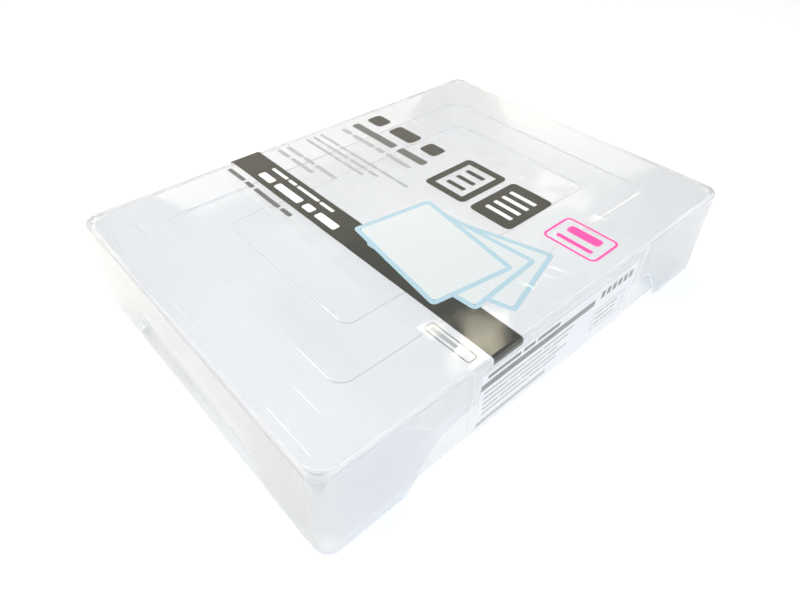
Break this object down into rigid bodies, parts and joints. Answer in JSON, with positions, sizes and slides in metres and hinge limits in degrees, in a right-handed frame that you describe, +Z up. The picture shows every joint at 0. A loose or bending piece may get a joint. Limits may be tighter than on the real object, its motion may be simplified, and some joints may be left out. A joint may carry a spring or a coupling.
{
  "type": "document case",
  "caption": "Clear telescoping case for A4 papers: a notched inner tray, a deep outer lid with sunk panels and skirt cut-outs, and a film band wrapped over the lid.",
  "frame": {"origin": "under the middle of the case, on the surface that the tray stands on", "axes": "+X across the case, +Y along its long side, away from the end with the sunk pads, +Z up"},
  "size_m": [0.2342, 0.318, 0.0626],
  "materials": {
    "tray_plastic": "clear, slightly milky polypropylene, moulded gloss",
    "lid_plastic": "clear, slightly milky polypropylene, moulded gloss",
    "printed_film": "clear film, gloss, printed in patches"
  },
  "bodies": {
    "tray": {"base_tray": "tray_plastic"},
    "cover": {"lid": "lid_plastic"},
    "band": {"film_band": "printed_film"}
  },
  "joints": [
    {"name": "lid_lift", "type": "slide", "parent": "tray", "child": "cover", "axis": [0, 0, 1], "range_m": [0, 0.07]},
    {"name": "band_slide", "type": "slide", "parent": "cover", "child": "band", "axis": [0, 1, 0], "range_m": [-0.235, 0.235]}
  ]
}
